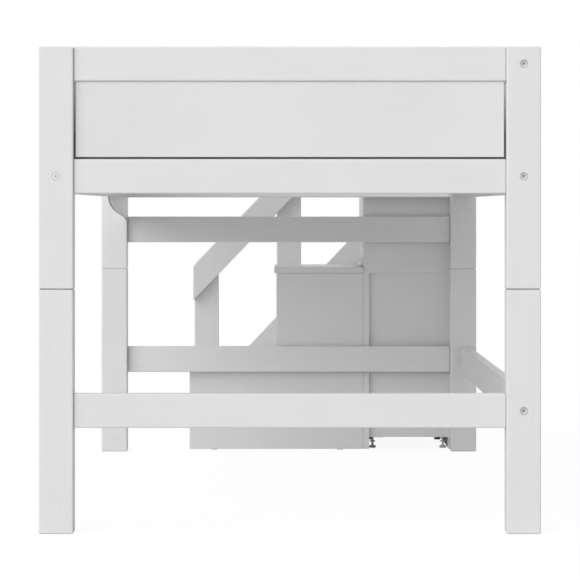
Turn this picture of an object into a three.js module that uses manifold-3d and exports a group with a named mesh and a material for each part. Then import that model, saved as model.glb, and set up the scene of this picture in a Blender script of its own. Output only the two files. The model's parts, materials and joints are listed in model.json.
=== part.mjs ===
import * as THREE from "three";
import { mergeVertices } from "three/addons/utils/BufferGeometryUtils.js";
import Module from "manifold-3d";

// Driving dimensions of the bed, in millimetres
const bedWidth = 1020;
const bedLength = 2070;
const bedHeight = 990;
const legHeight = 497;
const postWidth = 70;
const postDepth = 57;
const railHeight = 70;
const railThickness = 28;
const endRailSetback = 7;
const wallRailSetback = 15;
const panelHeight = 154.6;
const panelThickness = 18;
const panelGap = 4;
const tongueThickness = 8;
const lowRailBottom = 215;
const tieRailGap = 52.4;
const entryWidth = 330;
const guardPostWidth = 35;
const boltSeatRadius = 8.5;
const boltSeatDepth = 2.5;

// A thin lip under the open side's long rail deepens towards the stairs in an S curve
const curveStart = 1242;
const curveDrop = 62;
const lipThickness = 5;

// Slatted base
const slatCount = 10;
const slatWidth = 90;
const slatThickness = 18;
const ledgeWidth = 25;
const ledgeHeight = 14.5;
const slatEndMargin = 70;

// Storage stairs
const stepRise = 250;
const stepGoing = 238;
const topGoing = 249;
const stairStart = -272;
const stairDepth = 432;
const boardThickness = 16;
const boardFloorGap = 2.6;
const treadOverhang = 6;
const boxFloorLift = 16;
const fieldThickness = 6;
const footHeight = 33.7;
const footRadius = 10;
const footStemRadius = 3;
const footInset = 11;
const skirtRise = 100;
const skirtSlope = 1.055;

// Lid hinges
const hingeRadius = 4;
const hingeLeafHeight = 20;
const hingeLeafThickness = 1.5;
const hingeEndMargin = 12;

// Handrail on the outer side of the stairs
const handrailHeight = 70;
const handrailSlope = 1.04;
const handrailLowTop = 500;
const handrailOverhang = 3;
const handrailCorner = 12;

// Edges and clearances
const clearance = 0.3;
const edgeRadius = 3;
const edgeBevel = 2.4;
const boardEdgeRadius = 1.5;
const boardEdgeBevel = 1;
const cornerSegments = 2;
const holeSegments = 32;

// Finishes
const lacquer = { color: 0xe4e4e3, roughness: 0.5, metalness: 0 };
const pine = { color: 0xd9bf94, roughness: 0.7, metalness: 0 };
const plastic = { color: 0x8a8c8e, roughness: 0.5, metalness: 0 };
const steel = { color: 0xb9bbbd, roughness: 0.35, metalness: 0.9 };

const group = new THREE.Group();
group.position.y = -(bedLength + clearance + stairDepth + railThickness + clearance) / 2;

function addMesh(name, finish, geometry) {
  const mesh = new THREE.Mesh(geometry, new THREE.MeshStandardMaterial(finish));
  mesh.name = name;
  group.add(mesh);
  return mesh;
}

// A rectangle with its four corners rounded, centred on the origin
function roundedRectangle(width, height, radius) {
  const shape = new THREE.Shape();
  const x = width / 2 - radius;
  const y = height / 2 - radius;
  shape.absarc(x, y, radius, 0, Math.PI / 2);
  shape.absarc(-x, y, radius, Math.PI / 2, Math.PI);
  shape.absarc(-x, -y, radius, Math.PI, 1.5 * Math.PI);
  shape.absarc(x, -y, radius, 1.5 * Math.PI, 2 * Math.PI);
  return shape;
}

// An outline pushed along +Z for its length, both ends eased by a bevel inside that length
function prism(shape, length, bevel) {
  const geometry = new THREE.ExtrudeGeometry(shape, {
    depth: length - 2 * bevel,
    bevelEnabled: true,
    bevelThickness: bevel,
    bevelSize: bevel,
    bevelOffset: -bevel,
    bevelSegments: 1,
    curveSegments: cornerSegments,
  });
  geometry.translate(0, 0, bevel);
  return geometry;
}

// A board between two corners, its grain along its longest side
function boardGeometry(x, y, z, radius, bevel) {
  const size = [x[1] - x[0], y[1] - y[0], z[1] - z[0]];
  const along = size.indexOf(Math.max(...size));
  let geometry;
  if (along === 0) {
    geometry = prism(roundedRectangle(size[1], size[2], radius), size[0], bevel);
    geometry.translate(0, 0, -size[0] / 2);
    geometry.rotateX(Math.PI / 2);
    geometry.rotateZ(Math.PI / 2);
  } else if (along === 1) {
    geometry = prism(roundedRectangle(size[0], size[2], radius), size[1], bevel);
    geometry.translate(0, 0, -size[1] / 2);
    geometry.rotateX(Math.PI / 2);
  } else {
    geometry = prism(roundedRectangle(size[0], size[1], radius), size[2], bevel);
    geometry.translate(0, 0, -size[2] / 2);
  }
  geometry.translate((x[0] + x[1]) / 2, (y[0] + y[1]) / 2, (z[0] + z[1]) / 2);
  return geometry;
}

function timber(name, x, y, z) {
  return addMesh(name, lacquer, boardGeometry(x, y, z, edgeRadius, edgeBevel));
}

function board(name, x, y, z) {
  return addMesh(name, lacquer, boardGeometry(x, y, z, boardEdgeRadius, boardEdgeBevel));
}

// Outline points given as (along X, up Z), cut from a sheet that lies between two Y planes
function sheetInXZ(points, y, bevel) {
  const shape = new THREE.Shape(points.map(([px, pz]) => new THREE.Vector2(px, pz)));
  const geometry = prism(shape, y[1] - y[0], bevel);
  geometry.rotateX(Math.PI / 2);
  geometry.translate(0, y[1], 0);
  return geometry;
}

const wasm = await Module();
wasm.setup();

function toSolid(geometry) {
  const bare = geometry.clone();
  bare.deleteAttribute("normal");
  bare.deleteAttribute("uv");
  const merged = mergeVertices(bare, 1e-4);
  const mesh = new wasm.Mesh({
    numProp: 3,
    vertProperties: new Float32Array(merged.attributes.position.array),
    triVerts: new Uint32Array(merged.index.array),
  });
  return new wasm.Manifold(mesh);
}

function toGeometry(solid) {
  const mesh = solid.getMesh();
  const geometry = new THREE.BufferGeometry();
  geometry.setAttribute("position", new THREE.BufferAttribute(new Float32Array(mesh.vertProperties), 3));
  geometry.setIndex(new THREE.BufferAttribute(new Uint32Array(mesh.triVerts), 1));
  const flat = geometry.toNonIndexed();
  flat.computeVertexNormals();
  return flat;
}

// The four corners of the bed
const halfWidth = bedWidth / 2;
const postInner = halfWidth - postWidth;
const farPostFace = bedLength - postDepth;
const corners = {
  near_left: { x: [-halfWidth, -postInner], y: [0, postDepth] },
  near_right: { x: [postInner, halfWidth], y: [0, postDepth] },
  far_left: { x: [-halfWidth, -postInner], y: [farPostFace, bedLength] },
  far_right: { x: [postInner, halfWidth], y: [farPostFace, bedLength] },
};

// Levels that the four sides share
const guardRailBottom = bedHeight - railHeight;
const panelZ = [guardRailBottom - panelHeight, guardRailBottom - clearance];
const bedRailTop = panelZ[0] - panelGap;
const bedRailBottom = bedRailTop - railHeight;
const lowRailZ = [lowRailBottom, lowRailBottom + railHeight];
const tieRailTop = bedRailBottom - tieRailGap;
const tieRailZ = [tieRailTop - railHeight, tieRailTop];
const bedRailZ = [bedRailBottom, bedRailTop];
const guardRailZ = [guardRailBottom, bedHeight];

// Places of the end rails between the posts
const endX = [-postInner + clearance, postInner - clearance];
const nearRailY = [endRailSetback, endRailSetback + railThickness];
const farRailY = [bedLength - endRailSetback - railThickness, bedLength - endRailSetback];
const middleOf = (span) => (span[0] + span[1]) / 2;
const centred = (span, size) => [middleOf(span) - size / 2, middleOf(span) + size / 2];
const grown = (span, reach) => [span[0] - reach, span[1] + reach];

function block(x, y, z) {
  const geometry = new THREE.BoxGeometry(x[1] - x[0], y[1] - y[0], z[1] - z[0]);
  geometry.translate(middleOf(x), middleOf(y), middleOf(z));
  return geometry;
}

function fuse(name, pieces) {
  const [first, ...others] = pieces.map(toSolid);
  const solid = others.reduce((whole, piece) => whole.add(piece), first);
  return addMesh(name, lacquer, toGeometry(solid));
}

// A guard panel whose tongue closes the shadow gap below it and at its two ends
function tonguedPanel(name, x, y, z) {
  const alongX = x[1] - x[0] > y[1] - y[0];
  const tongueX = alongX ? grown(x, panelGap) : centred(x, tongueThickness);
  const tongueY = alongX ? centred(y, tongueThickness) : grown(y, panelGap);
  const tongueZ = [z[0] - panelGap + clearance, z[1] - boardEdgeRadius];
  const face = boardGeometry(x, y, z, boardEdgeRadius, boardEdgeBevel);
  return fuse(name, [face, block(tongueX, tongueY, tongueZ)]);
}

// Posts: an upper part and a leg below it, with a seat in the end face for each side rail's bolt
const boltedRails = { left: [bedRailZ], right: [guardRailZ, bedRailZ, lowRailZ] };

function seatedTimber(name, x, y, z, faceY, boltLevels) {
  let solid = toSolid(boardGeometry(x, y, z, edgeRadius, edgeBevel));
  for (const level of boltLevels.filter((height) => height > z[0] && height < z[1])) {
    const seat = new THREE.CylinderGeometry(boltSeatRadius, boltSeatRadius, 2 * boltSeatDepth, holeSegments);
    seat.translate(middleOf(x), faceY, level);
    solid = solid.subtract(toSolid(seat));
  }
  return addMesh(name, lacquer, toGeometry(solid));
}

for (const [corner, place] of Object.entries(corners)) {
  const [end, side] = corner.split("_");
  const faceY = end === "near" ? place.y[0] : place.y[1];
  const boltLevels = boltedRails[side].map(middleOf);
  seatedTimber(`${corner}_leg`, place.x, place.y, [0, legHeight - clearance / 2], faceY, boltLevels);
  seatedTimber(`${corner}_post`, place.x, place.y, [legHeight + clearance / 2, bedHeight], faceY, boltLevels);
}

// Near end, its rails held between the posts
timber("near_guard_rail", endX, nearRailY, guardRailZ);
tonguedPanel("near_panel", grown(endX, -panelGap), centred(nearRailY, panelThickness), panelZ);
timber("near_bed_rail", endX, nearRailY, bedRailZ);
timber("near_low_rail", endX, nearRailY, lowRailZ);

// Far end, with the entry from the stairs beside its guard
const entryX = postInner - entryWidth;
const guardPostX = [entryX - guardPostWidth, entryX];
const farGuardX = [endX[0], guardPostX[0] - clearance];
timber("far_bed_rail", endX, farRailY, bedRailZ);
timber("far_tie_rail", endX, farRailY, tieRailZ);
timber("far_low_rail", endX, farRailY, lowRailZ);
timber("entry_guard_post", guardPostX, farRailY, [bedRailTop + clearance, bedHeight]);
timber("far_guard_rail", farGuardX, farRailY, guardRailZ);
tonguedPanel("far_panel", grown(farGuardX, -panelGap), centred(farRailY, panelThickness), panelZ);

// Long sides: each bed rail carries a ledge for the slats along its inner face
const sideY = [postDepth + clearance, farPostFace - clearance];
const leftRailX = [-postInner - railThickness, -postInner];
const rightRailX = [halfWidth - wallRailSetback - railThickness, halfWidth - wallRailSetback];

const ledgeZ = [bedRailBottom + edgeRadius, bedRailBottom + edgeRadius + ledgeHeight];

// The lip's outline runs along Y and up Z, its top edge buried in the rail above it
function curvedLip() {
  const lowest = bedRailBottom - curveDrop;
  const shape = new THREE.Shape();
  shape.moveTo(curveStart, ledgeZ[1]);
  shape.lineTo(curveStart, bedRailBottom);
  shape.bezierCurveTo(
    curveStart, bedRailBottom - 0.7 * curveDrop,
    sideY[1] - 0.35 * curveDrop, bedRailBottom - 0.75 * curveDrop,
    sideY[1], lowest,
  );
  shape.lineTo(sideY[1], ledgeZ[1]);
  const depth = lipThickness;
  const geometry = new THREE.ExtrudeGeometry(shape, { depth, bevelEnabled: false, curveSegments: 24 });
  geometry.rotateX(Math.PI / 2);
  geometry.rotateZ(Math.PI / 2);
  geometry.translate(leftRailX[1] - lipThickness, 0, 0);
  return geometry;
}

const leftLedgeX = [leftRailX[1] - edgeBevel, leftRailX[1] + ledgeWidth];
const rightLedgeX = [rightRailX[0] - ledgeWidth, rightRailX[0] + edgeBevel];
const leftRail = boardGeometry(leftRailX, sideY, bedRailZ, edgeRadius, edgeBevel);
fuse("left_bed_rail", [leftRail, block(leftLedgeX, sideY, ledgeZ), curvedLip()]);
timber("left_guard_rail", leftRailX, sideY, guardRailZ);
tonguedPanel("left_panel", centred(leftRailX, panelThickness), grown(sideY, -panelGap), panelZ);

const rightRail = boardGeometry(rightRailX, sideY, bedRailZ, edgeRadius, edgeBevel);
fuse("right_bed_rail", [rightRail, block(rightLedgeX, sideY, ledgeZ)]);
timber("right_guard_rail", rightRailX, sideY, guardRailZ);
timber("right_low_rail", rightRailX, sideY, lowRailZ);
tonguedPanel("right_panel", centred(rightRailX, panelThickness), grown(sideY, -panelGap), panelZ);

// Slats lie across the two ledges
const slatX = [leftRailX[1] + clearance, rightRailX[0] - clearance];
const slatZ = [ledgeZ[1] + clearance, ledgeZ[1] + clearance + slatThickness];
const firstSlat = sideY[0] + slatEndMargin;
const slatPitch = (sideY[1] - slatEndMargin - slatWidth - firstSlat) / (slatCount - 1);
for (let i = 0; i < slatCount; i += 1) {
  const y = firstSlat + i * slatPitch;
  const slat = boardGeometry(slatX, [y, y + slatWidth], slatZ, edgeRadius, edgeBevel);
  addMesh(`slat_${String(i + 1).padStart(2, "0")}`, pine, slat);
}

// Storage stairs: three boxes side by side, each step the lid of its box
const stairNear = bedLength + clearance;
const stairFar = stairNear + stairDepth;
const nearPanelY = [stairNear, stairNear + boardThickness];
const farPanelY = [stairFar - boardThickness, stairFar];
const uprightY = [nearPanelY[1] + clearance, farPanelY[0] - clearance];
const middleStart = stairStart + stepGoing;
const topStart = middleStart + stepGoing;
const stairEnd = topStart + topGoing;
const stepTops = [stepRise, 2 * stepRise, 3 * stepRise];
const underTread = stepTops.map((top) => top - boardThickness - clearance);

const endUprightX = [stairStart, stairStart + boardThickness];
const middleUprightX = [middleStart, middleStart + boardThickness];
board("end_upright", endUprightX, uprightY, [boardFloorGap, underTread[0]]);
board("middle_upright", middleUprightX, uprightY, [boardFloorGap, underTread[1]]);
const topUprightX = [topStart + clearance, topStart + boardThickness];
board("niche_left_upright", topUprightX, uprightY, [boardFloorGap, underTread[2]]);
const rightUprightX = [stairEnd - boardThickness, stairEnd];
board("niche_right_upright", rightUprightX, uprightY, [boardFloorGap, underTread[2]]);

const nearOutline = [
  [stairStart, boardFloorGap],
  [topStart, boardFloorGap],
  [topStart, underTread[1]],
  [middleStart, underTread[1]],
  [middleStart, underTread[0]],
  [stairStart, underTread[0]],
];
addMesh("stepped_side_panel", lacquer, sheetInXZ(nearOutline, nearPanelY, boardEdgeBevel));
const nicheTop = stepTops[1] - boardThickness + clearance;
const nicheX = [topUprightX[1] + clearance, rightUprightX[0] - clearance];
const nicheFloorZ = [footHeight + clearance, footHeight + clearance + boardThickness];

// The top box's side panel: a stile at each side of a thin field that is set back below the box
const topPanelX = [topStart + clearance, stairEnd];
const stileZ = [boardFloorGap, nicheTop + boardThickness];
const fieldY = [nearPanelY[1] - fieldThickness, nearPanelY[1]];
fuse("top_box_side_panel", [
  boardGeometry(topPanelX, nearPanelY, [nicheTop, underTread[2]], boardEdgeRadius, boardEdgeBevel),
  block(topUprightX, nearPanelY, stileZ),
  block(rightUprightX, nearPanelY, stileZ),
  block(topPanelX, fieldY, [nicheFloorZ[0], nicheTop + boardThickness]),
]);

// The far side panel rises as a skirt beside the steps and leaves the niche open
const skirtAt = (x) => stepRise + skirtRise + skirtSlope * (x - middleStart);
const skirtMeetsTread = middleStart - skirtRise / skirtSlope;
const nicheOpening = topStart + postWidth;
const farOutline = [
  [stairStart, boardFloorGap],
  [nicheOpening, boardFloorGap],
  [nicheOpening, nicheTop],
  [stairEnd, nicheTop],
  [stairEnd, skirtAt(stairEnd)],
  [skirtMeetsTread, stepRise],
  [stairStart, stepRise],
];
addMesh("skirt_side_panel", lacquer, sheetInXZ(farOutline, farPanelY, boardEdgeBevel));

const floorZ = [boardFloorGap + boxFloorLift, boardFloorGap + boxFloorLift + boardThickness];
const lowBoxX = [endUprightX[1] + clearance, middleStart - clearance];
const middleBoxX = [middleUprightX[1] + clearance, topStart - clearance];
board("low_box_floor", lowBoxX, uprightY, floorZ);
board("middle_box_floor", middleBoxX, uprightY, floorZ);
board("niche_floor", nicheX, uprightY, nicheFloorZ);
board("top_box_floor", nicheX, uprightY, [nicheTop, nicheTop + boardThickness]);

// Lids: the two lower ones overhang at the front and towards the bed
const lidFar = farPanelY[0] - 2 * clearance;
const lidNear = stairNear - treadOverhang;
const lidZ = (step) => [stepTops[step] - boardThickness, stepTops[step]];
const lidGap = 2 * clearance;
board("low_step_lid", [stairStart - treadOverhang, middleStart - lidGap], [lidNear, lidFar], lidZ(0));
board("middle_step_lid", [middleStart - treadOverhang, topStart - lidGap], [lidNear, lidFar], lidZ(1));
const topLidX = [topStart - treadOverhang, stairEnd - clearance];
board("top_step_lid", topLidX, [stairNear + clearance, lidFar], lidZ(2));

// A strip hinge: a barrel with one leaf that lies against an upright face
function stripHinge(name, x, z, leafUp) {
  const side = leafUp ? 1 : -1;
  const leafEnd = side * hingeLeafHeight;
  const leafFace = side * hingeRadius;
  const leafBack = side * (hingeRadius - hingeLeafThickness);
  const rootZ = side * Math.sqrt(hingeRadius ** 2 - leafBack ** 2);
  const start = leafUp ? 0 : Math.PI;
  const rootAngle = Math.atan2(rootZ * side, leafBack * side);
  const shape = new THREE.Shape();
  shape.moveTo(leafFace, 0);
  shape.lineTo(leafFace, leafEnd);
  shape.lineTo(leafBack, leafEnd);
  shape.lineTo(leafBack, rootZ);
  shape.absarc(0, 0, hingeRadius, start + rootAngle, start + 2 * Math.PI, false);
  const y = [uprightY[0] + hingeEndMargin, uprightY[1] - hingeEndMargin];
  const depth = y[1] - y[0];
  const geometry = new THREE.ExtrudeGeometry(shape, { depth, bevelEnabled: false, curveSegments: 12 });
  geometry.rotateX(Math.PI / 2);
  geometry.translate(x, y[1], z);
  return addMesh(name, steel, geometry);
}

const hingeAside = hingeRadius + clearance;
stripHinge("low_lid_hinge", middleStart - hingeAside, stepTops[0] + hingeAside, true);
stripHinge("middle_lid_hinge", topStart - hingeAside + clearance, stepTops[1] + hingeAside, true);
stripHinge("top_lid_hinge", stairEnd + hingeAside, stepTops[2] - boardThickness - clearance, false);

// Screw feet under the niche floor
const footProfile = [
  [0, 0],
  [footRadius * 0.8, 0],
  [footRadius, 2],
  [footRadius, 5],
  [footStemRadius, 8],
  [footStemRadius, 17],
  [footRadius * 0.75, 17],
  [footRadius * 0.75, 20],
  [footStemRadius, 20],
  [footStemRadius, footHeight],
  [0, footHeight],
].map(([r, z]) => new THREE.Vector2(r, z));
const footX = [nicheX[0] + footInset, nicheX[1] - footInset];
const footY = [uprightY[0] + 5 * footInset, uprightY[1] - 5 * footInset];
for (const [i, x] of footX.entries()) {
  for (const [j, y] of footY.entries()) {
    const geometry = new THREE.LatheGeometry(footProfile, 16);
    geometry.rotateX(Math.PI / 2);
    geometry.translate(x, y, 0);
    addMesh(`${["near", "far"][j]}_${["left", "right"][i]}_foot`, plastic, geometry);
  }
}

// Handrail: a sloping board on the inner face of its posts, whose tops follow its slope
const handrailY = [stairFar - railThickness, stairFar];
const handrailPostY = [stairFar + clearance, stairFar + clearance + railThickness];
const handrailTop = (x) => handrailLowTop + handrailSlope * (x - stairStart);
const verticalHeight = handrailHeight * Math.hypot(1, handrailSlope);
const railStartX = stairStart - handrailOverhang;
const railEndX = topStart + postWidth + handrailOverhang;
const handrailOutline = [
  [railStartX, handrailTop(railStartX) - verticalHeight],
  [railEndX, handrailTop(railEndX) - verticalHeight],
  [railEndX, handrailTop(railEndX) - handrailCorner],
  [railEndX - handrailCorner, handrailTop(railEndX - handrailCorner)],
  [railStartX + handrailCorner, handrailTop(railStartX + handrailCorner)],
  [railStartX, handrailTop(railStartX) - handrailCorner * 0.2],
];
addMesh("handrail", lacquer, sheetInXZ(handrailOutline, handrailY, edgeBevel));
const handrailPosts = { low: stairStart, middle: middleStart, top: topStart };
for (const [step, x] of Object.entries(handrailPosts)) {
  const sides = [x, x + postWidth];
  const outline = [
    [sides[0], 0],
    [sides[1], 0],
    [sides[1], handrailTop(sides[1]) - handrailCorner],
    [sides[0], handrailTop(sides[0]) - handrailCorner],
  ];
  addMesh(`${step}_handrail_post`, lacquer, sheetInXZ(outline, handrailPostY, edgeBevel));
}

export default group;
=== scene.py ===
# %% [markdown]
# # A mid sleeper bed with storage stairs
#
# The construction model holds every board of the bed at its real size. This lesson dresses it:
# white satin lacquer on the timber, bare pine on the slats, zinc on the bolts, and the small
# fittings that hold such a bed together. Each fitting is modelled from a primitive with the
# same operators that a person would use by hand.

# %% Load the frame
import json
import math

import bmesh
import bpy
from mathutils import Matrix, Vector


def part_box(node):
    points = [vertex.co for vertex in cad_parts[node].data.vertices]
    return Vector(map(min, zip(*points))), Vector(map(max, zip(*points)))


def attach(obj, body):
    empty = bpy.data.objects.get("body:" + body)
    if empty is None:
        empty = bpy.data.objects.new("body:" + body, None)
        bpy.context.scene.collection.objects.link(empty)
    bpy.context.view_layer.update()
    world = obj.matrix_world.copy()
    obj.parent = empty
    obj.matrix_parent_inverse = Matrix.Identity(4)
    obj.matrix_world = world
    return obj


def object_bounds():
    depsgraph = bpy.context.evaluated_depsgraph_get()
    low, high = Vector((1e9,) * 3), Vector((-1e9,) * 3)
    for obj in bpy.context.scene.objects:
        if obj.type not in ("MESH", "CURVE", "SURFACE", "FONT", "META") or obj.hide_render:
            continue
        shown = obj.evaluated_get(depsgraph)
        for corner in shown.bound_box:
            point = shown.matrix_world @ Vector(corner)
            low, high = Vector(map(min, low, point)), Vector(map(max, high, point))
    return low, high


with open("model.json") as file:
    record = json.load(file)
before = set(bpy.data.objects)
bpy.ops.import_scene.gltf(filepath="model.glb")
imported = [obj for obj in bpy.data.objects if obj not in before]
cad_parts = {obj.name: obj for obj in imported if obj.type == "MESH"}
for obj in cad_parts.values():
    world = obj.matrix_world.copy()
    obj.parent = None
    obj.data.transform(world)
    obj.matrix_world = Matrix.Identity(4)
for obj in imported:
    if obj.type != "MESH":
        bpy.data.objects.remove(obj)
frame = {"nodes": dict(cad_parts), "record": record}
cad_low, cad_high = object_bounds()
bpy.ops.object.select_all(action="DESELECT")
print("pieces in the frame:", len(frame["nodes"]))

# %% [markdown]
# The photograph looks straight at one end of the bed with a long lens. The two end frames show
# at scales 1.34 apart, which puts the camera 5.9 m in front of the near posts, and the edges
# that run away meet a little above the middle of the picture, at eye height 661 mm. The lens
# shift moves that meeting point to where the photograph has it and keeps the posts upright.

# %% Camera
picture = 580
near_face = cad_low[1]
camera_distance = 5.912
eye_height = 0.661
eye_aside = -0.008
pixels_per_metre = 492.7
vanishing_x = 285.9
vanishing_y = 208.5
sensor = 36.0

camera_data = bpy.data.cameras.new("camera")
camera_data.sensor_width = sensor
camera_data.lens = sensor * pixels_per_metre * camera_distance / picture
camera_data.shift_x = (picture / 2 - vanishing_x) / picture
camera_data.shift_y = -(picture / 2 - vanishing_y) / picture
camera_data.clip_end = 100
camera = bpy.data.objects.new("camera", camera_data)
camera.location = (eye_aside, near_face - camera_distance, eye_height)
camera.rotation_euler = (math.radians(90), 0, 0)
bpy.context.scene.collection.objects.link(camera)
bpy.context.scene.camera = camera
print("lens", round(camera_data.lens, 1), "mm")

# %% [markdown]
# ## Shader maths as Python
#
# A procedural finish is a sum of noises and masks. Wiring Math nodes by hand hides the formula,
# so a small class wraps a socket, and an expression on wrapped values adds the nodes. Sums and
# products shade one pattern into another, and comparisons mark out a place on the piece.


# %% A wrapped socket
class Wire:
    def __init__(self, bench, socket):
        self.bench = bench
        self.socket = socket

    def math(self, operation, *values):
        return self.bench.node("ShaderNodeMath", {"operation": operation}, *values)[0]

    def __add__(self, other):
        return self.math("ADD", self, other)

    def __mul__(self, other):
        return self.math("MULTIPLY", self, other)

    def __lt__(self, other):
        return self.math("LESS_THAN", self, other)

    def __gt__(self, other):
        return self.math("GREATER_THAN", self, other)

    def near(self, value, reach):
        return self.math("COMPARE", self, value, reach)

    def at_least(self, other):
        return self.math("MAXIMUM", self, other)

    __radd__ = __add__
    __rmul__ = __mul__


print("a wire adds maths nodes for +, *, < and >, and for near and at_least")

# %% [markdown]
# Every other node comes from one method. It adds the node and sets its options first, because
# they decide which sockets it has. Then it fills the sockets in order or by name, each from a
# wire or from a value. A bench is a node tree with this method, and a wire knows its bench.


# %% A bench for nodes
class Bench:
    def __init__(self, tree):
        self.nodes = tree.nodes
        self.links = tree.links

    def node(self, kind, settings, *values, **named):
        made = self.nodes.new(kind)
        for key, value in settings.items():
            if key == "stops":
                self.set_stops(made.color_ramp, value)
            else:
                setattr(made, key, value)
        in_order = [socket for socket in made.inputs if socket.enabled]
        chosen = list(zip(in_order, values))
        chosen += [(made.inputs[key.replace("_", " ")], value) for key, value in named.items()]
        for socket, value in chosen:
            if isinstance(value, Wire):
                self.links.new(value.socket, socket)
            else:
                socket.default_value = (*value, 1) if socket.type == "RGBA" else value
        return [Wire(self, socket) for socket in made.outputs if socket.enabled]

    def set_stops(self, ramp, stops):
        while len(ramp.elements) < len(stops):
            ramp.elements.new(0.5)
        for element, (position, color) in zip(ramp.elements, stops):
            element.position = position
            element.color = (*color, 1)

    def send_out(self, wire, output):
        self.links.new(wire.socket, self.nodes[output].inputs["Surface"])


print("a bench can:", ", ".join(name for name in vars(Bench) if not name.startswith("_")))

# %% [markdown]
# A finish is the bench of one material. Its methods are short names for the nodes that several
# finishes share. Patterns read the place on the piece itself, so they stay with a piece that
# moves, and the last method feeds the finished values to the shader.


# %% A finish
class Finish(Bench):
    def __init__(self, name, **shader):
        self.material = bpy.data.materials.new(name)
        self.material.use_nodes = True
        super().__init__(self.material.node_tree)
        self.shader = self.nodes["Principled BSDF"]
        for socket, value in shader.items():
            self.shader.inputs[socket.replace("_", " ")].default_value = value

    def place(self):
        return self.node("ShaderNodeTexCoord", {})[3]

    def place_xyz(self):
        return self.node("ShaderNodeSeparateXYZ", {}, self.place())

    def stretched(self, scale):
        return self.node("ShaderNodeMapping", {}, self.place(), Scale=scale)[0]

    def noise(self, vector, scale, detail=2.0, roughness=0.5):
        settings = {"Vector": vector, "Scale": scale, "Detail": detail, "Roughness": roughness}
        return self.node("ShaderNodeTexNoise", {}, **settings)[0]

    def map_range(self, value, from_low, from_high, to_low, to_high):
        return self.node("ShaderNodeMapRange", {}, value, from_low, from_high, to_low, to_high)[0]

    def ramp(self, value, stops):
        return self.node("ShaderNodeValToRGB", {"stops": stops}, value)[0]

    def blend(self, factor, first, second):
        return self.node("ShaderNodeMix", {"data_type": "RGBA"}, factor, first, second)[0]

    def bump(self, height, distance, strength):
        return self.node("ShaderNodeBump", {}, Height=height, Distance=distance, Strength=strength)[0]

    def feed(self, **wires):
        for socket, wire in wires.items():
            self.links.new(wire.socket, self.shader.inputs[socket.replace("_", " ")])
        return self.material


print("a finish can:", ", ".join(name for name in vars(Finish) if not name.startswith("_")))

# %% [markdown]
# ## White lacquer
#
# The frame is solid pine sprayed with a satin white lacquer. Seen close, the paint is a neutral
# white with a very slight unevenness, the grain shows through it as shallow lines that run with
# the board, and the sheen varies where the coat is thinner. Each direction of grain needs its own
# material, because the pattern is stretched along the board. The photograph shows a dark line
# where the near posts meet their legs and another on the narrow edge of the curved lip under the
# open side's bed rail. Two more materials find these places by their position and darken them
# with painted shade, which stands for the shade in the groove of the seam and on the lip's edge.

# %% Lacquer on solid timber
lacquer_white = (0.775, 0.775, 0.775)
lacquer_shade = (0.75, 0.75, 0.75)
grain_stretch = {"x": (1.2, 26, 26), "y": (26, 1.2, 26), "z": (26, 26, 1.2)}
seam_half_width = 0.001
lip_thickness = 0.005
lip_reach = 0.45 * lip_thickness
lip_margin = 0.001
# painted shade: the dark tone of the seam groove and of the lip's edge
painted_shade_tone = (0.3, 0.3, 0.3)


# the seam of the near posts, where painted shade stands for the shade in the groove
def at_seam(finish):
    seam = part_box("near_left_post")[0][2]
    return finish.place_xyz()[2].near(seam, seam_half_width)


# the narrow edge of the lip, where painted shade stands for the shade under the rail
def at_lip_edge(finish):
    place = finish.place_xyz()
    lip_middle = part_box("near_left_post")[1][0] - lip_thickness / 2
    rail_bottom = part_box("right_bed_rail")[0][2]
    return place[0].near(lip_middle, lip_reach) * (place[2] < rail_bottom - lip_margin)


def lacquered_timber(axis, mark="", uncoated=None):
    finish = Finish("lacquered_timber_" + axis + mark, Coat_Weight=0.15, Coat_Roughness=0.35)
    grain = finish.noise(finish.stretched(grain_stretch[axis]), scale=6.0, detail=6.0, roughness=0.62)
    coat = finish.noise(finish.place(), scale=9.0, detail=3.0)
    peel = finish.noise(finish.place(), scale=900.0)
    tone = finish.ramp(grain * 0.6 + coat * 0.4, [(0.3, lacquer_shade), (0.65, lacquer_white)])
    # mixes the painted shade into the lacquer where the mask is set
    if uncoated:
        tone = finish.blend(uncoated(finish), tone, painted_shade_tone)
    sheen = 0.38 + coat * 0.1
    relief = finish.bump(grain * 0.9 + peel * 0.1, distance=0.0004, strength=0.35)
    return finish.feed(Base_Color=tone, Roughness=sheen, Normal=relief)


timber_finish = {axis: lacquered_timber(axis) for axis in grain_stretch}
# two finishes with painted shade, at the seam and at the lip's edge
seamed_finish = lacquered_timber("z", "_seam", at_seam)
lip_finish = lacquered_timber("y", "_lip", at_lip_edge)
print("timber finishes:", sorted(timber_finish), "and two with an uncoated place")

# %% [markdown]
# The wide panels and the boxes of the stairs are board, not timber. Board has no grain under
# the paint, so only the fine orange peel of the spray shows, and the sheen is a little lower.


# %% Lacquer on board
def board_paint(finish):
    coat = finish.noise(finish.place(), scale=5.0, detail=3.0)
    peel = finish.noise(finish.place(), scale=700.0)
    tone = finish.ramp(coat, [(0.35, lacquer_shade), (0.65, lacquer_white)])
    return tone, 0.44 + coat * 0.1, finish.bump(peel, distance=0.0002, strength=0.25)


def lacquered_board():
    finish = Finish("lacquered_board")
    tone, sheen, relief = board_paint(finish)
    return finish.feed(Base_Color=tone, Roughness=sheen, Normal=relief)


board_finish = lacquered_board()
print("board finish:", board_finish.name)

# %% [markdown]
# Each guard panel fills its opening with a thin tongue below it and at its ends, behind a narrow
# shadow gap. The tongue carries painted shade, dark so that the gap reads as a fine dark line, which
# fades up the two sides as it does in the photograph. Depth alone would leave the gap too light.

# %% Panels with painted shade on the tongue
shadow_gap = 0.004
fade_start = 0.3
# painted shade for the shadow gap
painted_gap_shade = (0.1, 0.1, 0.1)


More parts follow.
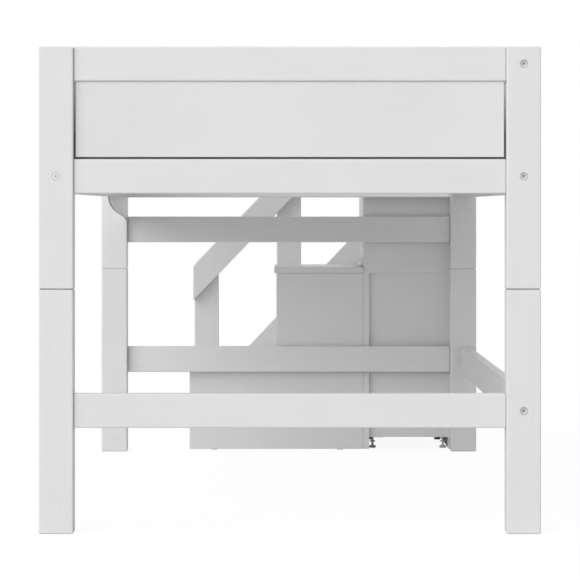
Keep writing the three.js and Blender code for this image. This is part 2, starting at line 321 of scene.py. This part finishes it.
def tongued_panel(node):
    finish = Finish("lacquered_" + node)
    low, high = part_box(node)
    place = finish.place_xyz()
    long_axis = 0 if high[0] - low[0] > high[1] - low[1] else 1
    along_panel = place[long_axis]
    fade_low = low[2] + fade_start * (high[2] - low[2])
    fade = finish.map_range(place[2], fade_low, high[2], 1.0, 0.1)
    left = along_panel < low[long_axis] + shadow_gap
    right = along_panel > high[long_axis] - shadow_gap
    bottom = place[2] < low[2] + shadow_gap
    # painted shade: full along the bottom gap, fading out up the side gaps
    tongue = ((left + right) * fade).at_least(bottom)
    paint, sheen, relief = board_paint(finish)
    tone = finish.blend(tongue, paint, painted_gap_shade)
    return finish.feed(Base_Color=tone, Roughness=sheen, Normal=relief)


print("shadow gap beside each panel:", shadow_gap, "m")

# %% [markdown]
# The slats stay bare. Pine shows pale early wood and darker late wood as bands along the slat,
# with a few knots. A wave texture makes even bands, so a noise bends them, and a stretched
# voronoi marks the knots.


# %% Bare pine
def bare_pine():
    finish = Finish("bare_pine")
    place = finish.stretched((1.6, 14, 14))
    wander = finish.noise(place, scale=2.2, detail=4.0)
    rings = finish.node("ShaderNodeTexWave", {"wave_type": "BANDS", "bands_direction": "Y"}, Vector=place,
                        Scale=0.9, Distortion=7.0, Detail=3.0)[1]
    fibre = finish.noise(finish.stretched((6, 220, 220)), scale=4.0, detail=3.0)
    spot = finish.node("ShaderNodeTexVoronoi", {}, Vector=finish.stretched((3.1, 7, 7)), Scale=1.6)[0]
    knot = finish.map_range(spot, 0.03, 0.12, 1.0, 0.0)
    wood = finish.ramp(rings * 0.55 + wander * 0.3 + fibre * 0.15,
                       [(0.2, (0.62, 0.53, 0.41)), (0.55, (0.55, 0.46, 0.34)), (0.85, (0.44, 0.34, 0.23))])
    tone = finish.blend(knot, wood, (0.26, 0.17, 0.1))
    relief = finish.bump(fibre * 0.6 + rings * 0.4, distance=0.0006, strength=0.4)
    return finish.feed(Base_Color=tone, Roughness=0.58 + fibre * 0.15, Normal=relief)


pine_finish = bare_pine()
print("slat finish:", pine_finish.name)

# %% [markdown]
# Four small finishes are left: dull zinc on the bolts, the nuts and the slat screws, a white
# coating on the strip hinges and their screws, the light grey plastic of the screw feet, the
# glides and a plug, and the dark grey of a socket that the light doesn't reach.


# %% Metal and plastic
def zinc():
    finish = Finish("zinc", Metallic=1.0)
    brush = finish.noise(finish.stretched((900, 30, 900)), scale=3.0, detail=3.0)
    cloud = finish.noise(finish.place(), scale=60.0)
    tone = finish.ramp(cloud, [(0.3, (0.52, 0.52, 0.53)), (0.7, (0.59, 0.59, 0.6))])
    relief = finish.bump(brush, distance=0.0001, strength=0.3)
    return finish.feed(Base_Color=tone, Roughness=0.58 + brush * 0.18, Normal=relief)


def coated_steel():
    finish = Finish("coated_steel", Coat_Weight=0.2, Coat_Roughness=0.3)
    cloud = finish.noise(finish.place(), scale=30.0)
    peel = finish.noise(finish.place(), scale=1100.0)
    tone = finish.ramp(cloud, [(0.3, (0.66, 0.66, 0.66)), (0.7, (0.72, 0.72, 0.72))])
    relief = finish.bump(peel, distance=0.0001, strength=0.3)
    return finish.feed(Base_Color=tone, Roughness=0.34 + peel * 0.12, Normal=relief)


def shaded_socket():
    finish = Finish("shaded_socket", Metallic=0.4)
    cloud = finish.noise(finish.place(), scale=500.0)
    tone = finish.ramp(cloud, [(0.3, (0.27, 0.27, 0.27)), (0.7, (0.33, 0.33, 0.33))])
    return finish.feed(Base_Color=tone, Roughness=0.5 + cloud * 0.2)


def moulded_plastic():
    finish = Finish("moulded_plastic")
    pores = finish.noise(finish.place(), scale=1400.0)
    cloud = finish.noise(finish.place(), scale=40.0)
    tone = finish.ramp(cloud, [(0.3, (0.74, 0.74, 0.75)), (0.7, (0.8, 0.8, 0.81))])
    relief = finish.bump(pores, distance=0.0001, strength=0.5)
    return finish.feed(Base_Color=tone, Roughness=0.42 + pores * 0.16, Normal=relief)


zinc_finish = zinc()
hinge_finish = coated_steel()
socket_finish = shaded_socket()
plastic_finish = moulded_plastic()
print("fitting finishes:", zinc_finish.name, hinge_finish.name, socket_finish.name, plastic_finish.name)

# %% [markdown]
# Each board of the frame now takes its finish. Its record slot says what it is made of. Among the
# lacquered ones the panels, uprights, floors and lids are board, and the others are timber, whose
# grain runs along the longest side of the box.

# %% Dress the frame
slot_of = {row["node"]: row["material_slot"] for row in frame["record"]["subparts"]}
flat_boards = ("panel", "upright", "floor", "lid")


def longest_axis(node):
    low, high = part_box(node)
    sizes = [high[i] - low[i] for i in range(3)]
    return "xyz"[sizes.index(max(sizes))]


def finish_for(node):
    by_slot = {"pine": pine_finish, "steel": hinge_finish, "plastic": plastic_finish}
    if slot_of[node] in by_slot:
        return by_slot[slot_of[node]]
    if node.endswith("_panel") and "side" not in node:
        return tongued_panel(node)
    if node.endswith(flat_boards):
        return board_finish
    if node == "left_bed_rail":
        return lip_finish
    if node.startswith("near_") and node.endswith(("_post", "_leg")):
        return seamed_finish
    return timber_finish[longest_axis(node)]


for node, piece in frame["nodes"].items():
    piece.material_slots[0].material = finish_for(node)
print("dressed", len(frame["nodes"]), "frame pieces")

# %% [markdown]
# ## Fittings
#
# Small metal and plastic pieces are what the eye looks for on flat-pack furniture. A kind that
# repeats is modelled once, standing on the origin and facing up, and then copied: a copy gets its
# own mesh, and its mesh is moved to its place, so that every object stays at the origin. A few
# helpers do what the pieces need: start with nothing selected, select faces by a rule, round the
# sharp edges, apply the transforms and place a copy.

# %% Helpers for modelled pieces
UP = Vector((0, 0, 1))
sharp_from = math.radians(35)


def start_fresh():
    if bpy.context.object and bpy.context.object.mode != "OBJECT":
        bpy.ops.object.mode_set(mode="OBJECT")
    bpy.ops.object.select_all(action="DESELECT")


def select_faces(piece, keep):
    bpy.ops.object.mode_set(mode="EDIT")
    bpy.ops.mesh.select_mode(type="FACE")
    bpy.ops.mesh.select_all(action="DESELECT")
    mesh = bmesh.from_edit_mesh(piece.data)
    for face in mesh.faces:
        face.select_set(keep(face))
    mesh.select_flush_mode()
    bmesh.update_edit_mesh(piece.data)


def soften(piece, width, segments=2):
    bpy.ops.object.mode_set(mode="OBJECT")
    bevel = piece.modifiers.new("soft_edges", "BEVEL")
    bevel.width = width
    bevel.segments = segments
    bevel.limit_method = "ANGLE"
    bevel.angle_limit = sharp_from
    bpy.ops.object.modifier_apply(modifier=bevel.name)
    bpy.ops.object.shade_smooth_by_angle(angle=sharp_from)


def settle(piece, name, finish, recess_finish=None, in_recess=None):
    bpy.ops.object.transform_apply(location=True, rotation=True, scale=True)
    piece.name = name
    piece.data.materials.append(finish)
    if recess_finish:
        piece.data.materials.append(recess_finish)
        for face in piece.data.polygons:
            face.material_index = int(in_recess(face.center))
    start_fresh()
    return piece


def place_copy(pattern, name, body, where, facing=UP):
    piece = pattern.copy()
    piece.data = pattern.data.copy()
    piece.name = name
    bpy.context.scene.collection.objects.link(piece)
    turn = UP.rotation_difference(Vector(facing)).to_matrix().to_4x4()
    piece.data.transform(turn)
    piece.data.transform(Matrix.Translation(Vector(where)))
    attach(piece, body)
    return piece


print("edges are rounded from", round(math.degrees(sharp_from)), "degrees")

# %% [markdown]
# Most of the fittings are discs: the head of a bolt or a screw, the end of a nut, a glide. A
# disc starts as a cylinder. Its top can be inset and pressed down, which leaves a rim, and a
# cutter can be taken out of it. Faces inside a given radius can be picked for another finish.


# %% Helpers for discs
facing_up = 0.9


def add_disc(sides, radius, height, base=0.0):
    bpy.ops.object.select_all(action="DESELECT")
    centre = (0, 0, base + height / 2)
    bpy.ops.mesh.primitive_cylinder_add(vertices=sides, radius=radius, depth=height, location=centre)
    return bpy.context.object


def press_top(piece, *steps):
    select_faces(piece, lambda face: face.normal.z > facing_up)
    for inset, lift in steps:
        bpy.ops.mesh.inset(thickness=inset)
        bpy.ops.mesh.extrude_region_move(TRANSFORM_OT_translate={"value": (0, 0, lift)})
    bpy.ops.object.mode_set(mode="OBJECT")


def cut(piece, cutter):
    bpy.ops.object.select_all(action="DESELECT")
    piece.select_set(True)
    bpy.context.view_layer.objects.active = piece
    removal = piece.modifiers.new("removal", "BOOLEAN")
    removal.object = cutter
    removal.operation = "DIFFERENCE"
    bpy.ops.object.modifier_apply(modifier=removal.name)
    bpy.data.objects.remove(cutter, do_unlink=True)


def inside(radius, height):
    return lambda centre: math.hypot(centre.x, centre.y) < radius and centre.z < height


print("a face is part of the top from", facing_up, "upwards in its normal")

# %% [markdown]
# A rail bolt runs through the post into the long rail. The frame has a round seat for it in the
# post's end face, and the head fills the seat to just under the surface. It is a flat disc with
# a low rim and a hexagon socket, which a six-sided cutter takes out.

# %% The rail bolt
seat_depth = 0.0025
seat_radius = 0.0085
fit_gap = 0.0003
head_height = seat_depth - fit_gap
recess_share = 0.6
rim_width = 0.0013
rim_height = 0.0004
socket_radius = 0.0027
socket_floor = 0.0004


def model_rail_bolt():
    start_fresh()
    head = add_disc(sides=40, radius=seat_radius - fit_gap, height=head_height)
    press_top(head, (rim_width, -rim_height))
    cut(head, add_disc(sides=6, radius=socket_radius, height=head_height, base=socket_floor))
    soften(head, width=0.00025)
    in_socket = inside(socket_radius, head_height * recess_share)
    return settle(head, "rail_bolt_pattern", zinc_finish, socket_finish, in_socket)


bolt_pattern = model_rail_bolt()
print("bolt faces:", len(bolt_pattern.data.polygons))

# %% [markdown]
# On the near left post the photograph shows a white press-in cap over the bolt: a ring, a raised
# middle and a pin hole. It is made like the head of a bolt, with the top pressed down first and
# then, further in, up again.


# %% The cover cap
ring_width = 0.0009
groove_width = 0.0006
groove_depth = 0.0005
pin_hole_radius = 0.0016
pin_hole_floor = 0.0006


def model_cover_cap():
    start_fresh()
    cap = add_disc(sides=40, radius=seat_radius - fit_gap, height=head_height)
    press_top(cap, (ring_width, -groove_depth), (groove_width, groove_depth))
    cut(cap, add_disc(sides=20, radius=pin_hole_radius, height=head_height, base=pin_hole_floor))
    soften(cap, width=0.0002)
    in_pin_hole = inside(pin_hole_radius, head_height * recess_share)
    return settle(cap, "cover_cap_pattern", board_finish, socket_finish, in_pin_hole)


cap_pattern = model_cover_cap()
print("cover cap faces:", len(cap_pattern.data.polygons))

# %% [markdown]
# The bolts sit in the end faces of the posts and legs, in line with the middle of each long rail:
# three on the wall side and one on the open side. The bed rail of the open side has a lip that
# hangs down, so its bolts take their level from the bed rail across from it.

# %% Place the bolts
main_body = "bed_and_stairs"
bolted_rails = {
    "left": ("left_bed_rail",),
    "right": ("right_guard_rail", "right_bed_rail", "right_low_rail"),
}
bolt_levels = {"left_bed_rail": "right_bed_rail"}


def middle(node, axis):
    low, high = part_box(node)
    return (low[axis] + high[axis]) / 2


for end, corner_side, outward in (("near", 0, -1), ("far", 1, 1)):
    for side, rails in bolted_rails.items():
        post = end + "_" + side + "_post"
        face_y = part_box(post)[corner_side][1] - outward * seat_depth
        for rail in rails:
            capped = end == "near" and side == "left"
            pattern = cap_pattern if capped else bolt_pattern
            level = middle(bolt_levels.get(rail, rail), 2)
            where = (middle(post, 0), face_y, level)
            place_copy(pattern, end + "_" + rail + "_bolt", main_body, where, (0, outward, 0))

print("bolts and caps:", 2 * sum(len(rails) for rails in bolted_rails.values()))

# %% [markdown]
# Each bolt screws into a barrel nut that crosses the rail near its end. On the inner face the
# end of the nut shows as a small disc with a slot, which a screwdriver turns to line it up. The
# slot is cut out with a narrow block.


# %% The barrel nuts
nut_radius = 0.005
nut_height = 0.0008
slot_length = 0.0072
slot_width = 0.0012
slot_floor = 0.0005
slot_ceiling = 0.0013
nut_from_end = 0.035


def add_block(low, high):
    bpy.ops.object.select_all(action="DESELECT")
    centre = [(low[i] + high[i]) / 2 for i in range(3)]
    bpy.ops.mesh.primitive_cube_add(size=1, location=centre)
    block = bpy.context.object
    block.scale = [high[i] - low[i] for i in range(3)]
    return block


def add_slot_cutter(length, width, base, top):
    return add_block((-length / 2, -width / 2, base), (length / 2, width / 2, top))


def model_barrel_nut():
    start_fresh()
    nut = add_disc(sides=28, radius=nut_radius, height=nut_height)
    cut(nut, add_slot_cutter(slot_length, slot_width, slot_floor, slot_ceiling))
    soften(nut, width=0.0002, segments=1)
    return settle(nut, "barrel_nut_pattern", zinc_finish)


nut_pattern = model_barrel_nut()
for side, rails in bolted_rails.items():
    for rail in rails:
        low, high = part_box(rail)
        inner_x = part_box("near_left_post")[1][0] if side == "left" else low[0]
        inward = 1 if side == "left" else -1
        level = middle(bolt_levels.get(rail, rail), 2)
        for end, y in (("near", low[1] + nut_from_end), ("far", high[1] - nut_from_end)):
            where = (inner_x, y, level)
            place_copy(nut_pattern, rail + "_" + end + "_nut", main_body, where, (inward, 0, 0))

print("barrel nuts:", 2 * sum(len(rails) for rails in bolted_rails.values()))

# %% [markdown]
# The slats are held by zinc pan heads. The hinges have flatter heads, coated like the hinge, so
# that they clear the lids. The cross recess of each head is two narrow blocks, one along and one
# across, cut out of the top. Its depth is given in head heights, so that both kinds get one.


# %% The screw
screw_radius = 0.0036
screw_rim = 0.0009
cross_length = 0.0034
cross_width = 0.0008
cross_floor = 0.85
cross_ceiling = 2.35
pan_height = 0.0012
flat_height = 0.0004
ledge_inset = 0.012


def model_screw(name, finish, height):
    start_fresh()
    head = add_disc(sides=20, radius=screw_radius, height=height)
    select_faces(head, lambda face: face.normal.z > facing_up)
    bpy.ops.mesh.inset(thickness=screw_rim)
    bpy.ops.transform.translate(value=(0, 0, height / 2))
    bpy.ops.object.mode_set(mode="OBJECT")
    for length, width in ((cross_length, cross_width), (cross_width, cross_length)):
        cut(head, add_slot_cutter(length, width, cross_floor * height, cross_ceiling * height))
    soften(head, width=0.15 * height, segments=1)
    return settle(head, name, finish)


slat_screw_pattern = model_screw("slat_screw_pattern", zinc_finish, pan_height)
hinge_screw_pattern = model_screw("hinge_screw_pattern", hinge_finish, flat_height)
for node in sorted(name for name in frame["nodes"] if name.startswith("slat_")):
    low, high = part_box(node)
    for end, x in (("left", low[0] + ledge_inset), ("right", high[0] - ledge_inset)):
        where = (x, middle(node, 1), high[2])
        place_copy(slat_screw_pattern, node + "_" + end + "_screw", main_body, where)

print("slat screws at", where[2], "m over the floor")

# %% [markdown]
# Each lid turns on a strip hinge. The barrel and its fixed leaf are in the frame. The other
# leaf belongs to the lid and turns with it: a thin strip with its edge against the barrel, on top
# of the two lower lids and on the end face of the top one. Both leaves have a row of screws.


# %% The lid leaves
leaf_thickness = 0.0015
leaf_width = 0.02
leaf_screws = 5
barrel_gap = 0.0006
screw_share = 0.55
screw_sink = 0.0002
screw_drop = 0.008
edge_margin = 0.0012


def model_leaf(name, low, high, body):
    start_fresh()
    leaf = add_block(low, high)
    bpy.ops.object.transform_apply(location=False, rotation=False, scale=True)
    soften(leaf, width=0.0005)
    settle(leaf, name, hinge_finish)
    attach(leaf, body)
    return leaf


def screw_row(name, body, x, y_span, z, facing):
    step = (y_span[1] - y_span[0]) / leaf_screws
    for i in range(leaf_screws):
        where = (x, y_span[0] + (i + 0.5) * step, z)
        place_copy(hinge_screw_pattern, name + "_" + str(i + 1), body, where, facing)


for step in ("low", "middle"):
    body = step + "_lid"
    barrel_low, barrel_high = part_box(step + "_lid_hinge")
    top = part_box(step + "_step_lid")[1][2]
    y_span = (barrel_low[1], barrel_high[1])
    inner = barrel_low[0] + barrel_gap
    leaf_top = top + leaf_thickness
    model_leaf(step + "_lid_leaf", (inner - leaf_width, y_span[0], top), (inner, y_span[1], leaf_top), body)
    screw_x = inner - leaf_width * screw_share
    screw_row(step + "_lid_leaf_screw", body, screw_x, y_span, leaf_top - screw_sink, UP)
    fixed_face = barrel_high[0] - leaf_thickness
    fixed_level = barrel_high[2] - screw_drop
    screw_row(step + "_fixed_leaf_screw", main_body, fixed_face, y_span, fixed_level, (-1, 0, 0))

barrel_low, barrel_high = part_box("top_lid_hinge")
lid_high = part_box("top_step_lid")[1]
y_span = (barrel_low[1], barrel_high[1])
leaf_z = (barrel_high[2] + barrel_gap, lid_high[2] - edge_margin)
leaf_face = lid_high[0] + leaf_thickness
model_leaf("top_lid_leaf", (lid_high[0], y_span[0], leaf_z[0]), (leaf_face, y_span[1], leaf_z[1]), "top_lid")
screw_row("top_lid_leaf_screw", "top_lid", leaf_face - screw_sink, y_span, sum(leaf_z) / 2, (1, 0, 0))
fixed_face = barrel_low[0] + leaf_thickness
screw_row("top_fixed_leaf_screw", main_body, fixed_face, y_span, barrel_low[2] + screw_drop, (1, 0, 0))
print("screws along each leaf:", leaf_screws)

# %% [markdown]
# The side panels of the stairs don't touch the floor. They stand on flat nail-on glides, two
# under each panel, and these show as small bumps under the bottom edge in the photograph. A
# glide is a low plastic disc with rounded edges, as high as the gap under the panel.


# %% Glides under the stair panels
glide_radius = 0.0078
glide_rim = 0.0012
glide_gap = 0.0002
glide_places = (-0.205, 0.141)


def model_glide(height):
    start_fresh()
    glide = add_disc(sides=32, radius=glide_radius, height=height)
    select_faces(glide, lambda face: face.normal.z < -facing_up)
    bpy.ops.mesh.inset(thickness=glide_rim)
    soften(glide, width=height * 0.3, segments=3)
    return settle(glide, "glide_pattern", plastic_finish)


panel_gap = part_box("stepped_side_panel")[0][2]
glide_pattern = model_glide(panel_gap - glide_gap)
for panel in ("stepped_side_panel", "skirt_side_panel"):
    y = middle(panel, 1)
    for i, x in enumerate(glide_places):
        name = panel + "_glide_" + str(i + 1)
        place_copy(glide_pattern, name, main_body, (x, y, glide_gap / 2))

print("the panels stand", panel_gap, "m over the floor")

# %% [markdown]
# The skirt of the stairs slopes in one line, and behind each of the two upper risers it runs lower
# than the tread, which would leave the side of the box open. A three-cornered board in the same
# plane closes it up to the tread. It starts as a block of the opening's size, and a bisect along
# the slope takes away the half that the skirt fills.


# %% Infill boards over the skirt
skirt_slope = 1.055
skirt_gap = 0.0006
board_gap = 0.0003


def model_infill(step, riser):
    start_fresh()
    skirt_low, skirt_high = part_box("skirt_side_panel")
    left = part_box(riser)[0][0]
    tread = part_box(step + "_step_lid")[1][2]
    right = skirt_high[0] - (skirt_high[2] - tread) / skirt_slope
    base = tread - (right - left) * skirt_slope
    low = (left, skirt_low[1] + board_gap, base)
    high = (right, skirt_high[1] - board_gap, tread)
    board = add_block(low, high)
    bpy.ops.object.transform_apply(location=True, rotation=True, scale=True)
    bpy.ops.object.mode_set(mode="EDIT")
    bpy.ops.mesh.select_all(action="SELECT")
    on_slope = (left, low[1], base + skirt_gap)
    below_slope = (skirt_slope, 0, -1)
    bpy.ops.mesh.bisect(plane_co=on_slope, plane_no=below_slope, use_fill=True, clear_outer=True)
    soften(board, width=0.0008)
    settle(board, step + "_infill_board", board_finish)
    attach(board, main_body)
    return board


for step, riser in (("middle", "middle_upright"), ("top", "niche_left_upright")):
    print(step, "infill faces:", len(model_infill(step, riser).data.polygons))

# %% [markdown]
# The photograph shows a small round plug low on the inner face of the far left leg. It is a disc
# with its top pressed down inside a rim. It is the last fitting, so the patterns that the copies
# were taken from are discarded after it.

# %% The plug in the far leg
plug_level = 0.04
plug_radius = 0.0036
plug_height = 0.0012
plug_rim = 0.0012
plug_dish = 0.0006


def discard(*patterns):
    for pattern in patterns:
        bpy.data.objects.remove(pattern, do_unlink=True)


start_fresh()
plug_pattern = add_disc(sides=24, radius=plug_radius, height=plug_height)
press_top(plug_pattern, (plug_rim, -plug_dish))
soften(plug_pattern, width=0.0002)
settle(plug_pattern, "plug_pattern", plastic_finish)
plug_place = (middle("far_left_leg", 0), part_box("far_left_leg")[0][1], plug_level)
place_copy(plug_pattern, "far_left_leg_plug", main_body, plug_place, (0, -1, 0))
discard(bolt_pattern, cap_pattern, nut_pattern, slat_screw_pattern, hinge_screw_pattern)
discard(glide_pattern, plug_pattern)
print("the plug sits", plug_level, "m over the floor")

# %% [markdown]
# ## Light
#
# The photograph is lit evenly from all round, with more from the open side: the near faces are
# one flat tone, and what lies deep under the bed is darker, most of all by the wall side. A
# uniform world gives that shade in the corners. A very wide sun, in front, to the left and a
# little above, lights the near faces evenly and reaches under the open side less and less with
# depth. The camera and the reflections see the world as plain white.

# %% World
sky_strength = 0.56
world = bpy.data.worlds.new("studio")
bpy.context.scene.world = world
world.use_nodes = True
world_bench = Bench(world.node_tree)
world_bench.nodes.remove(world_bench.nodes["Background"])
ray = {wire.socket.name: wire for wire in world_bench.node("ShaderNodeLightPath", {})}
seen = ray["Is Camera Ray"].at_least(ray["Is Glossy Ray"]).at_least(ray["Is Transmission Ray"])
sky = world_bench.node("ShaderNodeBackground", {}, (1, 1, 1), sky_strength)[0]
backdrop = world_bench.node("ShaderNodeBackground", {}, (1, 1, 1), 1.0)[0]
choice = world_bench.node("ShaderNodeMixShader", {}, seen, sky, backdrop)[0]
world_bench.send_out(choice, "World Output")
print("sky strength:", sky_strength)

# %% [markdown]
# The floor is white and very large. To the camera it is mostly its own white, with a share of
# real shading mixed in, which keeps a faint shadow under the bed. To the light that bounces
# between surfaces it is greyer, so that the underside of the bed stays in shade.


# %% Floor
floor_size = 60
floor_drop = 0.0005
floor_bounce = (0.75, 0.75, 0.75)
white_strength = 1.03
white_share = 0.9


def floor_finish():
    finish = Finish("floor", Roughness=0.9)
    ray = finish.node("ShaderNodeLightPath", {})[0]
    finish.feed(Base_Color=finish.blend(ray, floor_bounce, (1.0, 1.0, 1.0)))
    shaded = Wire(finish, finish.shader.outputs[0])
    white = finish.node("ShaderNodeEmission", {}, Strength=white_strength)[0]
    seen = finish.node("ShaderNodeMixShader", {}, ray * white_share, shaded, white)[0]
    finish.send_out(seen, "Material Output")
    return finish.material


start_fresh()
bpy.ops.mesh.primitive_plane_add(size=floor_size, location=(0, 0, -floor_drop))
floor = bpy.context.object
floor.name = "studio_floor"
floor.data.materials.append(floor_finish())
print("floor:", floor_size, "m square")

# %% [markdown]
# In use a mattress covers the slats, and little light comes down between them. A grey card just
# under the slats does the same for the picture: it is part of the stage, the camera doesn't see
# it, and the slats above it stay lit.

# %% Card
slat_low, slat_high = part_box("slat_01")
card_gap = 0.002
card_length = 1.93
card_tone = (0.6, 0.6, 0.6, 1)
card_middle = (middle("slat_01", 0), middle("left_bed_rail", 1), slat_low[2] - card_gap)
start_fresh()
bpy.ops.mesh.primitive_plane_add(size=1, location=card_middle)
card = bpy.context.object
card.name = "card_under_slats"
card.scale = (slat_high[0] - slat_low[0], card_length, 1)
card.visible_camera = False
card.data.materials.append(Finish("card", Base_Color=card_tone, Roughness=0.8).material)
print("card length:", card_length, "m")

# %% [markdown]
# The sun stands 40 degrees to the left of the camera and 25 degrees up. It is so wide that its
# shadows have no edge. The plain view transform keeps white surfaces as white as they are lit.

# %% Sun and view
sun_turn = math.radians(40)
sun_rise = math.radians(25)
sun_width = math.radians(70)
sun_distance = 10
sun_energy = 1.8
sun_data = bpy.data.lights.new("wide_sun", "SUN")
sun_data.energy = sun_energy
sun_data.angle = sun_width
sun = bpy.data.objects.new("wide_sun", sun_data)
towards = Vector((-math.sin(sun_turn), -math.cos(sun_turn), math.tan(sun_rise)))
sun.rotation_euler = towards.to_track_quat("Z", "Y").to_euler()
sun.location = sun_distance * towards
bpy.context.scene.collection.objects.link(sun)

bpy.context.scene.view_settings.view_transform = "Standard"
print("sun energy:", sun_energy)

# %% [markdown]
